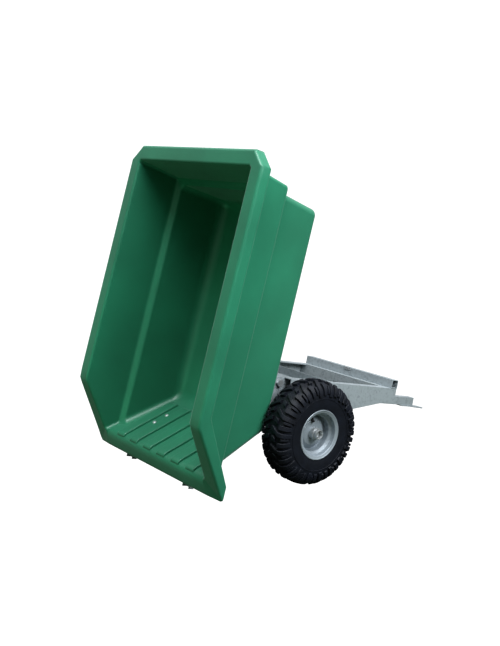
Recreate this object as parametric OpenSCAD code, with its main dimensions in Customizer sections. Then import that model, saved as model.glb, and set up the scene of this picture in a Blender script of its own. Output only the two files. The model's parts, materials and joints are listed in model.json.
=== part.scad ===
// Tipping dump cart: a moulded tub on a two-wheeled galvanised chassis.
// It stands unhitched: both tyres and the tip of the hitch plate on the ground, the tub tipped back.
// Row frame: +X forward to the hitch, +Y left, +Z up, origin on the ground below the middle of the box.
// Chassis frame: origin on the axle, X along the side members. Tub frame: u forward from the lip,
// v left, w up from the underside of the floor.

/* [Tub] */
// Length from the lip to the front of the rim
tub_length = 1451; // [1350:1:1550]
// Width across the rim
tub_width = 1008; // [960:1:1060]
// Height of the rim above the underside of the floor
tub_depth = 506; // [480:1:560]
// Thickness of the moulded walls
tub_wall = 8; // [6:0.5:11]
// Width of the floor
floor_width = 680; // [640:1:690]
// Distance from the lip forward to the rear end of the floor
floor_start = 277; // [260:1:300]
// Distance from the lip forward to the front end of the floor
floor_end = 1307; // [1280:1:1320]
// Height of the lip above the underside of the floor
lip_height = 299; // [290:1:310]
// Height of the lip's edge
lip_edge = 9; // [6:1:14]
// Width of the lip's lower face
lip_face = 56; // [48:1:64]
// Distance from the lip forward to the bend of the rim
rim_bend = 287; // [260:1:320]
// Height of the outer face of the rim
rim_drop = 56; // [40:1:70]
// Width of the top face of the rim
rim_face = 65; // [50:1:70]
// Corner chamfer of the rim, seen from above
rim_chamfer = 72; // [40:1:90]
// Height of the ledge that runs round the walls
ledge_height = 249; // [220:1:270]
// Width of the ledge
ledge_step = 30; // [20:1:32]
// How far a side wall leans out from the floor to the ledge
side_lean = 44; // [30:1:46]
// How far the front wall leans out from the floor to the ledge
front_lean = 19; // [10:1:25]
// Corner radius of the tub, seen from above
corner_radius = 46; // [36:1:60]
// Corner radius of the tub above the ledge, seen from above
upper_corner = 16; // [12:1:24]
// Radius between the floor and the walls, outside
floor_radius = 26; // [15:1:34]
// Radius between the floor and the walls, inside
inner_radius = 50; // [40:1:56]

/* [Chute] */
// Lean of the chute from upright
chute_lean = 33.2; // [31:0.1:35]
// Distance between neighbouring planks of the chute
plank_pitch = 115; // [112:1:118]
// Width of a groove between two planks
groove_width = 55; // [50:1:60]
// Height of the planks above the grooves
plank_rise = 10; // [7:0.5:13]
// Distance of a chute bolt from the middle of the tub
chute_bolt_y = 230; // [226:1:234]
// Distance of the first chute bolt from the floor, along the chute
chute_bolt_start = 157; // [150:1:164]
// Distance between the two chute bolts of one rail
chute_bolt_step = 74; // [68:1:80]

/* [Tub rails] */
// Distance from the middle of the tub to the middle of a rail
rail_y = 236; // [226:1:240]
// Width of a rail
rail_width = 50; // [40:1:52]
// Depth of a rail under the floor
rail_depth = 42; // [36:0.5:42.5]
// Thickness of the rail steel
rail_sheet = 3; // [2:0.5:4]
// Width of the flange on the outer side of a rail
rail_flange = 42; // [38:1:46]
// Distance from the lip forward to the front end of the rails
rail_end = 1210; // [1180:1:1216]
// How far the rails stand past the lip
rail_overhang = 26; // [16:1:32]

/* [Pivot] */
// Distance of the pivot behind the axle
pivot_back = 107; // [100:1:114]
// Distance from the lip forward to the pivot
pivot_u = 500; // [490:1:510]
// Distance of the pivot below the tub floor
pivot_drop = 72; // [68:1:76]
// Angle between the lowered and the tipped tub
tip_angle = 86.4; // [80:0.1:87]
// Diameter of the pivot bolts
pivot_bolt_d = 20; // [16:1:22]
// Radius of the rounded ends of the hinge plates
hinge_radius = 28; // [26:1:29]
// Thickness of the hinge plates under the tub
hinge_plate_t = 6; // [5:0.5:8]
// Thickness of the hinge cheeks on the chassis
cheek_t = 8; // [6:0.5:10]
// Radial clearance of a turning pin in its bore
running_gap = 0.05; // [0.02:0.01:0.08]
// Gap between faces that slide past each other
side_gap = 0.5; // [0.3:0.1:0.8]

/* [Chassis] */
// Width across the side members
chassis_width = 645; // [636:1:656]
// Height of the top of the side members above the axle
side_top = 214.5; // [205:0.5:225]
// Depth of the side members at their front end
side_front_depth = 76.5; // [60:0.5:80]
// Thickness of the folded chassis steel
chassis_sheet = 5; // [4:0.5:6]
// Distance of the rear end of the side members behind the axle
side_rear = 75; // [65:1:85]
// Width of the lower flange of the side members
lower_flange = 36; // [25:1:42]
// Distance of the front cross member ahead of the axle
front_member_x = 577; // [565:1:585]
// Length of the front cross member along the chassis
front_member_l = 82; // [76:1:95]
// Side of the square crossbar that the tub rests on
crossbar_size = 43; // [43:1:48]
// Wall of the crossbar
crossbar_wall = 3; // [2:0.5:5]
// Width of the rest plate on the middle of the crossbar
rest_plate_w = 42; // [30:1:60]
// Distance of the tray cross member's upright ahead of the axle
tray_x = 224; // [210:1:240]
// Length of the tray cross member along the chassis
tray_l = 130; // [100:1:136]
// Depth of the tray cross member
tray_depth = 42; // [35:1:50]
// Gap between the lowered tub and the crossbar
bed_gap = 0.5; // [0.3:0.1:1]

/* [Drawbar] */
// Side of the square drawbar tube
drawbar_size = 46; // [40:1:48]
// Wall of the drawbar tube
drawbar_wall = 4; // [3:0.5:6]
// Height of the underside of the drawbar above the axle
drawbar_z = 79.6; // [76:0.1:86]
// Distance of the drawbar's end ahead of the axle
drawbar_end = 1172; // [1150:1:1190]
// Distance of the hitch plate's tip ahead of the axle
hitch_tip = 1276; // [1262:1:1300]
// Thickness of the hitch plate
hitch_t = 6; // [5:0.5:10]
// Width of the hitch plate
hitch_width = 60; // [46:1:70]
// How far the hitch plate bends down at its tip
hitch_fall = 6.6; // [4:0.1:10]
// Length of the hitch plate's flat seat under the drawbar
hitch_seat = 62; // [50:1:70]
// Diameter of the hitch pin hole
hitch_hole_d = 20; // [16:1:22]

/* [Axle and wheels] */
// Side of the square axle beam
axle_size = 50; // [46:1:54]
// Wall of the axle beam
axle_wall = 4; // [3:0.5:6]
// Length of the axle beam
axle_length = 660; // [650:1:664]
// Diameter of the stub axles in the hubs
spindle_d = 25; // [20:1:28]
// Distance between the middles of the tyres
track = 842; // [836:1:850]
// Outer diameter of the tyres
tyre_d = 483; // [470:1:490]
// Width of the tyres
tyre_width = 160; // [154:1:166]
// Height of the tread lugs
lug_height = 9; // [5:0.5:12]
// Number of lugs in each row of the tread
lug_count = 18; // [14:1:22]
// Diameter of the rim flange
rim_flange_d = 231; // [224:1:238]
// Diameter of the bead seat
bead_d = 203; // [198:1:206]
// Width of the rim across its flanges
rim_width = 150; // [146:1:154]
// Thickness of the pressed rim
rim_sheet = 4; // [3:0.5:5]
// Outer diameter of the hub tube
hub_d = 54; // [50:1:60]
// Bore of the hub tube
hub_bore_d = 35; // [34:0.5:38]
// Length of the hub tube
hub_length = 118; // [112:1:124]
// Diameter of the bright ring at the end of the hub
hub_ring_d = 43; // [41:1:48]
// Length of the bright ring
hub_ring_l = 20; // [14:1:24]
// Angle of the valve stem round the wheel, up from straight ahead
valve_angle = 97; // [0:1:180]

/* [Latch] */
// Diameter of the latch shaft
latch_shaft_d = 14; // [12:1:16]
// Distance from the lip forward to the latch shaft
latch_u = 1147; // [1140:1:1152]
// Reach of the latch hook below its shaft
hook_reach = 82; // [76:1:90]
// Thickness of the latch hook
hook_t = 20; // [14:1:26]
// Length of the latch handle
handle_length = 150; // [120:1:180]
// Angle that the latch swings from open, as drawn, to closed
latch_swing = 25; // [20:1:28]

/* [Hidden] */

// Finish colours
mould_green = "#1f7a4d";
galvanised = "#b9c0c4";
zinc_bright = "#d9dde0";
rim_silver = "#a3abb2";
tyre_black = "#26262a";
rubber_black = "#1c1c1e";
dark_steel = "#5c6064";

// Round shapes
round_fn = 64;
// Extra length of a cutting body past the face that it cuts
past = 1;

// Places on the chassis
wheel_r = tyre_d / 2;
wheel_y = track / 2;
side_y = chassis_width / 2;
bed_z = side_top + crossbar_size + bed_gap;
pivot_x = -pivot_back;
pivot_z = bed_z - pivot_drop;
axle_top = axle_size / 2;
front_bottom = side_top - side_front_depth;
front_end_x = front_member_x + front_member_l;
crossbar_x = front_end_x - crossbar_size;
drawbar_top = drawbar_z + drawbar_size;
hitch_tip_z = drawbar_z - hitch_t - hitch_fall;
nose_pitch = asin(wheel_r / norm([hitch_tip, hitch_tip_z])) + atan2(hitch_tip_z, hitch_tip);

// Places across the hinge, from the rail out to the side member
rail_in = rail_y - rail_width / 2;
rail_out = rail_y + rail_width / 2;
hinge_out = rail_out + hinge_plate_t;
cheek_in = hinge_out + side_gap;
cheek_out = cheek_in + cheek_t;
side_flange = side_y - cheek_out;

// Directions of the chute in the tub frame
lip_under = lip_height - lip_edge;
chute_length = lip_under / cos(chute_lean);
chute_along = [-sin(chute_lean), cos(chute_lean)];
chute_under = [-chute_along[1], chute_along[0]];

// Row frame point of a point on the chassis
function chassis_x(p) = p[0] * cos(nose_pitch) + p[1] * sin(nose_pitch);
// Chassis point of a tub point, with the tub tipped
function tipped(p) = [
    pivot_x + (p[0] - pivot_u) * cos(tip_angle) - (p[1] + pivot_drop) * sin(tip_angle),
    pivot_z + (p[0] - pivot_u) * sin(tip_angle) + (p[1] + pivot_drop) * cos(tip_angle)];
// A point on the outer face of the chute, a distance from the floor and a distance out of it
function chute_point(along, out) =
    [floor_start, 0] + along * chute_along + out * chute_under;

rear_x = chassis_x(tipped([rim_bend, tub_depth]));
front_x = chassis_x([hitch_tip, hitch_tip_z + hitch_t]);
origin_x = (rear_x + front_x) / 2;

// Frames
module on_chassis() {
    translate([-origin_x, 0, wheel_r]) rotate([0, nose_pitch, 0]) children();
}

module on_tub() {
    on_chassis() translate([pivot_x, 0, pivot_z]) rotate([0, -tip_angle, 0])
        translate([-pivot_u, 0, pivot_drop]) children();
}

// Wheel frame: z along the axle and out of the cart on the given side, x forward
module on_wheel(side) {
    on_chassis() rotate([0, -nose_pitch, 0]) mirror([0, side < 0 ? 1 : 0, 0])
        translate([0, wheel_y, 0]) rotate([-90, 0, 0]) children();
}

module on_axle_end(side) {
    on_chassis() mirror([0, side < 0 ? 1 : 0, 0]) rotate([-90, 0, 0]) children();
}

// A flat outline in x and z, given a thickness along y from a low to a high side
module upright_sheet(y_low, y_high) {
    translate([0, y_high, 0]) rotate([90, 0, 0]) linear_extrude(y_high - y_low) children();
}

// A disc across y at a place in x and z, from a low to a high side
module upright_disc(place, d, y_low, y_high) {
    translate([place[0], y_low, place[1]]) rotate([-90, 0, 0])
        cylinder(h = y_high - y_low, d = d, $fn = round_fn);
}

module left_or_right(side) {
    mirror([0, side < 0 ? 1 : 0, 0]) children();
}

module box(low, high) {
    translate(low) cube(high - low);
}

// A closed body through rings of points with equal counts, from the first ring to the last
module loft(rings) {
    n = len(rings[0]);
    last = len(rings) - 1;
    polyhedron(
        points = [for (ring = rings) each ring],
        faces = concat(
            [[for (i = [0:n - 1]) i]],
            [for (k = [0:last - 1], i = [0:n - 1])
                [k * n + i, (k + 1) * n + i, (k + 1) * n + (i + 1) % n, k * n + (i + 1) % n]],
            [[for (i = [n - 1:-1:0]) last * n + i]]));
}

// A level ring with rounded corners: rear and front ends, half width, corner radius, height
corner_steps = 4;
function rounded_ring(rear, front, half, radius, height) = [
    for (corner = [0:3], step = [0:corner_steps])
        let (angle = 90 * corner + 90 * step / corner_steps,
            centre_u = corner == 0 || corner == 3 ? front - radius : rear + radius,
            centre_v = corner < 2 ? half - radius : radius - half)
        [centre_u + radius * cos(angle), centre_v + radius * sin(angle), height]];

// Walls of the tub, as levels of height, front end, half width and corner radius
ledge_top = ledge_height + ledge_step / 2;
rim_under = tub_depth - rim_drop;
floor_half = floor_width / 2;
ledge_half = floor_half + side_lean;
rim_half = tub_width / 2;
opening_half = rim_half - rim_face;
opening_end = tub_length - rim_face;
function chute_u(height) = floor_start - height * tan(chute_lean);
// Lean of the upper wall from the ledge to the opening, worked out at a height above the ledge
function upper_share(height) = (height - ledge_top) / (tub_depth - ledge_top);
function upper_half(height) = ledge_half + ledge_step
    + (opening_half - ledge_half - ledge_step) * upper_share(height);
ledge_end = floor_end + front_lean;
function upper_end(height) = ledge_end + ledge_step
    + (opening_end - ledge_end - ledge_step) * upper_share(height);

// Rings of the tub body, grown outward by a wall and closed below at a floor height with a radius
fillet_turns = [0, 30, 60, 90];
function tub_rings(grow, rear_shift, floor, radius, top) = concat(
    [for (turn = fillet_turns)
        let (height = floor + radius * (1 - cos(turn)),
            inset = radius * (1 - sin(turn)),
            lean = height / ledge_height)
        rounded_ring(chute_u(height) + rear_shift + inset,
            floor_end + front_lean * lean + grow - inset,
            floor_half + side_lean * lean + grow - inset, corner_radius - inset / 2, height)],
    [rounded_ring(chute_u(ledge_height) + rear_shift, ledge_end + grow, ledge_half + grow,
        corner_radius, ledge_height),
    rounded_ring(chute_u(ledge_top) + rear_shift, upper_end(ledge_top) + grow,
        upper_half(ledge_top) + grow, upper_corner, ledge_top),
    rounded_ring(chute_u(top) + rear_shift, upper_end(top) + grow, upper_half(top) + grow,
        upper_corner, top)]);

// Side view of everything below the rim's top face
module below_rim() {
    upright_sheet(-tub_width, tub_width) polygon([
        [0, lip_height], [rim_bend, tub_depth], [tub_length, tub_depth], [tub_length, -past], [0, -past]]);
}

// Rim band, seen from the side
module rim_band() {
    slope = [rim_bend, tub_depth - lip_height];
    upright_sheet(-tub_width, tub_width) polygon([
        [0, lip_height], [rim_bend, tub_depth], [tub_length, tub_depth], [tub_length, rim_under],
        [rim_bend + rim_drop * slope[1] / slope[0], rim_under], [lip_face, lip_under], [0, lip_under]]);
}

// Rim outline from above
module rim_outline() {
    front = tub_length;
    polygon([[0, rim_half], [front - rim_chamfer, rim_half], [front, rim_half - rim_chamfer],
        [front, rim_chamfer - rim_half], [front - rim_chamfer, -rim_half], [0, -rim_half]]);
}

// Bolt places along the chute
chute_bolt_places = [chute_bolt_start, chute_bolt_start + chute_bolt_step];
chute_bolt_d = 8;
chute_bolt_gap = 0.5;
module at_chute_bolts() {
    for (side = [-1, 1], along = chute_bolt_places)
        translate([chute_point(along, 0)[0], side * chute_bolt_y, chute_point(along, 0)[1]])
            rotate([0, atan2(chute_under[0], chute_under[1]), 0]) children();
}

// One raised plank of the chute, about a middle
module plank(middle) {
    seat = -tub_wall / 2;
    inner = -tub_wall - plank_rise;
    end = 2 * chute_length;
    half = (plank_pitch - groove_width) / 2;
    upright_sheet(middle - half, middle + half) polygon([
        chute_point(0, seat), chute_point(end, seat), chute_point(end, inner), chute_point(0, inner),
        [chute_point(0, inner)[0] + plank_rise, tub_wall], [floor_start + tub_wall, tub_wall / 2]]);
}

// The tub before it is hollowed, and the hollow
module outer_body() {
    loft(tub_rings(0, 0, 0, floor_radius, tub_depth - past));
}

module cavity() {
    loft(tub_rings(-tub_wall, tub_wall / chute_along[1], tub_wall, inner_radius, tub_depth + past));
}

module tub_shell() color(mould_green) on_tub() {
    side_planks = 3;
    difference() {
        union() {
            intersection() {
                union() {
                    difference() {
                        outer_body();
                        cavity();
                    }
                    difference() {
                        intersection() {
                            rim_band();
                            linear_extrude(tub_depth + past) rim_outline();
                        }
                        cavity();
                    }
                }
                below_rim();
            }
            intersection() {
                for (side = [-1, 1], k = [0:side_planks - 1]) plank(side * (k + 0.5) * plank_pitch);
                outer_body();
                below_rim();
            }
        }
        at_chute_bolts() translate([0, 0, -tub_depth / 4])
            cylinder(h = tub_depth / 2, d = chute_bolt_d + 2 * chute_bolt_gap, $fn = round_fn);
    }
}

// Outline of a rail in the side view, down to a depth: floor, chute and a shallower tail under the lip
module rail_outline(depth) {
    turn = depth * (1 + chute_along[0]) / chute_along[1];
    tail = depth * tail_share;
    tail_along = (lip_under - tail - depth * chute_along[0]) / chute_along[1];
    polygon([[rail_end, 0], [floor_start, 0], chute_point(chute_length, 0), [-rail_overhang, lip_under],
        [-rail_overhang, lip_under - tail], chute_point(tail_along, depth),
        [floor_start - turn, -depth], [rail_end, -depth]]);
}

// Outline of the flange on a rail in the side view, which ends at the top of the chute
module flange_outline() {
    turn = rail_sheet * (1 + chute_along[0]) / chute_along[1];
    polygon([[rail_end, 0], [floor_start, 0], chute_point(chute_length, 0),
        chute_point(chute_length, rail_sheet), [floor_start - turn, -rail_sheet], [rail_end, -rail_sheet]]);
}

// Depth of a rail's tail, as a share of the rail's depth
tail_share = 0.66;

latch_w = -rail_depth / 2;
module rail(side) color(galvanised) on_tub() left_or_right(side) difference() {
    union() {
        difference() {
            upright_sheet(rail_in, rail_out) rail_outline(rail_depth);
            upright_sheet(rail_in + rail_sheet, rail_out - rail_sheet)
                rail_outline(rail_depth - rail_sheet);
        }
        upright_sheet(rail_out, rail_out + rail_flange) flange_outline();
    }
    translate([latch_u, 0, latch_w]) rotate([-90, 0, 0])
        cylinder(h = tub_width, d = latch_shaft_d + 2 * running_gap, $fn = round_fn);
    at_chute_bolts() translate([0, 0, -tub_depth / 4])
        cylinder(h = tub_depth / 2, d = chute_bolt_d + 2 * chute_bolt_gap, $fn = round_fn);
}

// Plate on the outer side of a rail that carries the tub on its pivot bolt
module hinge_plate(side) color(galvanised) on_tub() left_or_right(side) {
    half_root = 2 * hinge_radius;
    tuck = 0.8 * hinge_radius;
    top = -rail_sheet;
    eye = [pivot_u, -pivot_drop];
    difference() {
        union() {
            upright_disc(eye, 2 * hinge_radius, rail_out, hinge_out);
            upright_sheet(rail_out, hinge_out) polygon([
                [pivot_u - half_root, top], [pivot_u + half_root, top],
                [pivot_u + half_root, -rail_depth], [pivot_u + tuck, -pivot_drop - tuck / 2],
                [pivot_u - tuck, -pivot_drop - tuck / 2], [pivot_u - half_root, -rail_depth]]);
        }
        upright_disc(eye, pivot_bolt_d + 2 * running_gap, rail_out - past, hinge_out + past);
    }
}

// Mushroom heads inside the tub, shanks through the wall and the hollow rail
chute_head_d = 22;
chute_head_h = 5;
chute_nut_h = 6.5;
chute_nut_d = 15;
module chute_bolts() color(zinc_bright) on_tub() at_chute_bolts() {
    head_z = -tub_wall;
    shank = tub_wall + rail_depth + chute_nut_h + 3;
    translate([0, 0, head_z]) cylinder(h = shank, d = chute_bolt_d, $fn = round_fn);
    translate([0, 0, head_z]) mirror([0, 0, 1])
        cylinder(h = chute_head_h, d1 = chute_head_d, d2 = chute_head_d * 0.6, $fn = round_fn);
}

module chute_nuts() color(zinc_bright) on_tub() at_chute_bolts() translate([0, 0, rail_depth])
    difference() {
        cylinder(h = chute_nut_h, d = chute_nut_d, $fn = 6);
        translate([0, 0, -past])
            cylinder(h = chute_nut_h + 2 * past, d = chute_bolt_d, $fn = round_fn);
    }

// Latch: a cross shaft in the rails with a hook in the middle and a handle at the left end
handle_in = floor_half + side_lean;
handle_t = 10;
handle_w = 26;
handle_boss_d = 32;
hook_boss_d = 34;
hook_arm = 16;
nose_length = 22;
nose_height = 12;
grip_d = 36;
grip_end_d = 26;
grip_taper = 15;
grip_l = 90;
grip_cap = 12;
module on_latch() {
    on_tub() translate([latch_u, 0, latch_w]) rotate([0, latch_swing, 0]) children();
}

module latch_shaft() color(zinc_bright) on_latch() translate([0, -rail_out - handle_t, 0])
    rotate([-90, 0, 0])
        cylinder(h = handle_in + handle_t + rail_out + handle_t, d = latch_shaft_d, $fn = round_fn);

module latch_hook() color(dark_steel) on_latch() {
    front = hook_arm / 2;
    half = hook_t / 2;
    difference() {
        union() {
            upright_disc([0, 0], hook_boss_d, -half, half);
            upright_sheet(-half, half) polygon([
                [-front, front], [front, front], [front, nose_height - hook_reach],
                [front + nose_length, nose_height - hook_reach],
                [front + nose_length / 2, -hook_reach], [-front, -hook_reach]]);
        }
        upright_disc([0, 0], latch_shaft_d, -hook_t, hook_t);
    }
}

module latch_handle() color(galvanised) on_latch() {
    handle_out = handle_in + handle_t;
    difference() {
        union() {
            upright_disc([0, 0], handle_boss_d, handle_in, handle_out);
            box([-handle_w / 2, handle_in, -handle_length], [handle_w / 2, handle_out, 0]);
        }
        upright_disc([0, 0], latch_shaft_d, handle_in - past, handle_out + past);
    }
}

// Rubber grip drawn over the end of the handle
module latch_grip() color(rubber_black) on_latch() mirror([0, 0, 1])
    translate([0, handle_in + handle_t / 2, handle_length + grip_cap - grip_l]) difference() {
        union() {
            cylinder(h = grip_l - grip_taper, d = grip_d, $fn = round_fn);
            translate([0, 0, grip_l - grip_taper])
                cylinder(h = grip_taper, d1 = grip_d, d2 = grip_end_d, $fn = round_fn);
        }
        translate([-handle_w / 2, -handle_t / 2, -past])
            cube([handle_w, handle_t, grip_l - grip_cap + past]);
    }

// Tapered side member, folded at its upper and lower edges
module side_member(side) color(galvanised) on_chassis() left_or_right(side) {
    seat = axle_top + chassis_sheet;
    taper = [front_member_x - axle_top, front_bottom - axle_top];
    upright_sheet(side_y - chassis_sheet, side_y) polygon([
        [front_member_x, side_top], [front_member_x, front_bottom], [axle_top, axle_top],
        [-axle_top, axle_top], [-side_rear, side_top - axle_size], [-side_rear, side_top]]);
    box([-side_rear, cheek_out, side_top - chassis_sheet],
        [front_member_x, side_y - chassis_sheet, side_top]);
    upright_sheet(side_y - chassis_sheet - lower_flange, side_y - chassis_sheet) polygon([
        [axle_top, axle_top], [front_member_x, front_bottom],
        [front_member_x, front_bottom + chassis_sheet],
        [axle_top, seat]]);
}

// Pressed pan at the front, open below
module front_cross_member() color(galvanised) on_chassis() difference() {
    box([front_member_x, -side_y, front_bottom], [front_end_x, side_y, side_top]);
    box([front_member_x + chassis_sheet, chassis_sheet - side_y, front_bottom - past],
        [front_end_x - chassis_sheet, side_y - chassis_sheet, side_top - chassis_sheet]);
}

crossbar_half = side_y + 2;
module front_crossbar() color(galvanised) on_chassis() difference() {
    box([crossbar_x, -crossbar_half, side_top], [front_end_x, crossbar_half, side_top + crossbar_size]);
    box([crossbar_x + crossbar_wall, -crossbar_half - past, side_top + crossbar_wall],
        [front_end_x - crossbar_wall, crossbar_half + past, side_top + crossbar_size - crossbar_wall]);
}

// Bright plate against the rear face of the crossbar, in its middle
rest_plate_h = 14;
rest_plate_t = 4;
module rest_plate() color(zinc_bright) on_chassis()
    box([crossbar_x - rest_plate_t, -rest_plate_w / 2, side_top + crossbar_size - rest_plate_h],
        [crossbar_x, rest_plate_w / 2, side_top + crossbar_size]);

// Tray between the side members: an upright edge in front, a floor, and a rear edge turned down
tray_lip = 30;
module tray_cross_member() color(galvanised) on_chassis() {
    reach = side_y - chassis_sheet;
    low = side_top - tray_depth;
    box([tray_x - tray_l, -reach, low], [tray_x, reach, low + chassis_sheet]);
    box([tray_x - chassis_sheet, -reach, low + chassis_sheet],
        [tray_x, reach, side_top - chassis_sheet]);
    box([tray_x - chassis_sheet, -cheek_out, side_top - chassis_sheet], [tray_x, cheek_out, side_top]);
    box([tray_x - tray_l, -reach + lower_flange, low - tray_lip],
        [tray_x - tray_l + chassis_sheet, reach - lower_flange, low]);
}

module axle_beam() color(galvanised) on_chassis() difference() {
    box([-axle_top, -axle_length / 2, -axle_top], [axle_top, axle_length / 2, axle_top]);
    box([axle_wall - axle_top, -axle_length, axle_wall - axle_top],
        [axle_top - axle_wall, axle_length, axle_top - axle_wall]);
}

// Stub axle: a square root in the beam, a shoulder, the bearing journal and a threaded end
stub_root = 100;
hub_in = wheel_y - hub_length / 2 - 7;
hub_out = hub_in + hub_length;
bush_length = 30;
bush_setback = 15;
bush_end = hub_out - bush_setback;
shoulder_d = 36;
washer_t = 3;
nut_t = 14;
thread_d = 18;
module stub_axle(side) color(zinc_bright) on_axle_end(side) {
    root_half = axle_top - axle_wall;
    beam_end = axle_length / 2;
    box([-root_half, -root_half, beam_end - stub_root], [root_half, root_half, beam_end]);
    translate([0, 0, beam_end])
        cylinder(h = hub_in - side_gap - beam_end, d = shoulder_d, $fn = round_fn);
    translate([0, 0, beam_end])
        cylinder(h = bush_end + side_gap - beam_end, d = spindle_d, $fn = round_fn);
    translate([0, 0, beam_end])
        cylinder(h = bush_end + side_gap + washer_t + nut_t + 5 - beam_end, d = thread_d, $fn = round_fn);
}

washer_d = 31;
axle_nut_d = 30;
module axle_washers() color(zinc_bright) for (side = [-1, 1]) on_axle_end(side)
    translate([0, 0, bush_end + side_gap]) difference() {
        cylinder(h = washer_t, d = washer_d, $fn = round_fn);
        translate([0, 0, -past]) cylinder(h = washer_t + 2 * past, d = thread_d, $fn = round_fn);
    }

module axle_nuts() color(zinc_bright) for (side = [-1, 1]) on_axle_end(side)
    translate([0, 0, bush_end + side_gap + washer_t]) difference() {
        cylinder(h = nut_t, d = axle_nut_d, $fn = 6);
        translate([0, 0, -past]) cylinder(h = nut_t + 2 * past, d = thread_d, $fn = round_fn);
    }

// Tip stop: a tube across the cheeks with a rubber buffer under each rail, set square to the tipped tub
stop_size = 40;
stop_u = 380;
buffer_h = 12;
buffer_d = 36;
stop_face = -rail_depth - side_gap - buffer_h;
module tip_stop_tube() color(galvanised) on_tub() difference() {
    box([stop_u - stop_size / 2, -cheek_in, stop_face - stop_size],
        [stop_u + stop_size / 2, cheek_in, stop_face]);
    box([stop_u - stop_size / 2 + rail_sheet, -cheek_in - past, stop_face - stop_size + rail_sheet],
        [stop_u + stop_size / 2 - rail_sheet, cheek_in + past, stop_face - rail_sheet]);
}

module stop_buffers() color(rubber_black) on_tub() for (side = [-1, 1])
    translate([stop_u, side * rail_y, stop_face]) cylinder(h = buffer_h, d = buffer_d, $fn = round_fn);

// Cheek on the inner side of a side member, from the axle beam up to the pivot and the tip stop
cheek_front = 70;
cheek_radius = hinge_radius + 2;
module hinge_cheek(side) color(galvanised) on_chassis() left_or_right(side) {
    tuck = 0.85 * cheek_radius;
    stop_low = tipped([stop_u - stop_size / 2, stop_face]);
    stop_back = tipped([stop_u - stop_size / 2, stop_face - stop_size]);
    eye = [pivot_x, pivot_z];
    difference() {
        union() {
            upright_disc(eye, 2 * cheek_radius, cheek_in, cheek_out);
            upright_sheet(cheek_in, cheek_out) polygon([
                [pivot_x, pivot_z + tuck], [-side_rear, side_top], [cheek_front, side_top],
                [axle_top, axle_top], [-axle_top, axle_top], stop_back, stop_low,
                [pivot_x - tuck, pivot_z]]);
        }
        upright_disc(eye, pivot_bolt_d, cheek_in - past, cheek_out + past);
    }
}

// Pivot bolt with its washer, head on the outer side of the cheek
pivot_head_h = 12.5;
pivot_head_d = 34;
pivot_washer_d = 38;
pivot_nut_t = 16;
module pivot_bolt(side) color(zinc_bright) on_chassis() left_or_right(side)
    translate([pivot_x, 0, pivot_z]) rotate([-90, 0, 0]) {
        nut_end = rail_out - side_gap - pivot_nut_t;
        translate([0, 0, nut_end - 4])
            cylinder(h = cheek_out - nut_end + 4, d = pivot_bolt_d, $fn = round_fn);
        translate([0, 0, cheek_out]) cylinder(h = washer_t, d = pivot_washer_d, $fn = round_fn);
        translate([0, 0, cheek_out + washer_t]) cylinder(h = pivot_head_h, d = pivot_head_d, $fn = 6);
    }

module pivot_nuts() color(zinc_bright) on_chassis() for (side = [-1, 1]) left_or_right(side)
    translate([pivot_x, rail_out - side_gap - pivot_nut_t, pivot_z]) rotate([-90, 0, 0]) difference() {
        cylinder(h = pivot_nut_t, d = pivot_head_d, $fn = 6);
        translate([0, 0, -past]) cylinder(h = pivot_nut_t + 2 * past, d = pivot_bolt_d, $fn = round_fn);
    }

// Keeper that the hook reaches under when the tub is lowered
keeper_gap = 1;
keeper_t = 6;
keeper_w = 60;
module latch_keeper() color(dark_steel) on_chassis() {
    hook_x = pivot_x + latch_u - pivot_u;
    low = bed_z + latch_w - hook_reach + nose_height + keeper_gap;
    box([hook_x + hook_arm / 2 + 5, -keeper_w / 2, low], [front_member_x, keeper_w / 2, low + keeper_t]);
}

module drawbar_tube() color(galvanised) on_chassis() difference() {
    half = drawbar_size / 2;
    box([-axle_top, -half, drawbar_z], [drawbar_end, half, drawbar_top]);
    box([-axle_size, drawbar_wall - half, drawbar_z + drawbar_wall],
        [drawbar_end - drawbar_wall, half - drawbar_wall, drawbar_top - drawbar_wall]);
}

// Post between the axle beam and the drawbar
module drawbar_post() color(galvanised) on_chassis()
    box([-axle_top, -drawbar_size / 2, axle_top], [axle_top, drawbar_size / 2, drawbar_z]);

// Packing between the drawbar and the front cross member
packer_width = 100;
module drawbar_packer() color(galvanised) on_chassis() {
    box([front_member_x, -packer_width / 2, drawbar_top],
        [front_member_x + chassis_sheet, packer_width / 2, front_bottom]);
    box([front_end_x - chassis_sheet, -packer_width / 2, drawbar_top],
        [front_end_x, packer_width / 2, front_bottom]);
    box([front_member_x + chassis_sheet, -drawbar_size / 2, drawbar_top],
        [front_end_x - chassis_sheet, drawbar_size / 2, front_bottom - chassis_sheet]);
}

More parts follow.
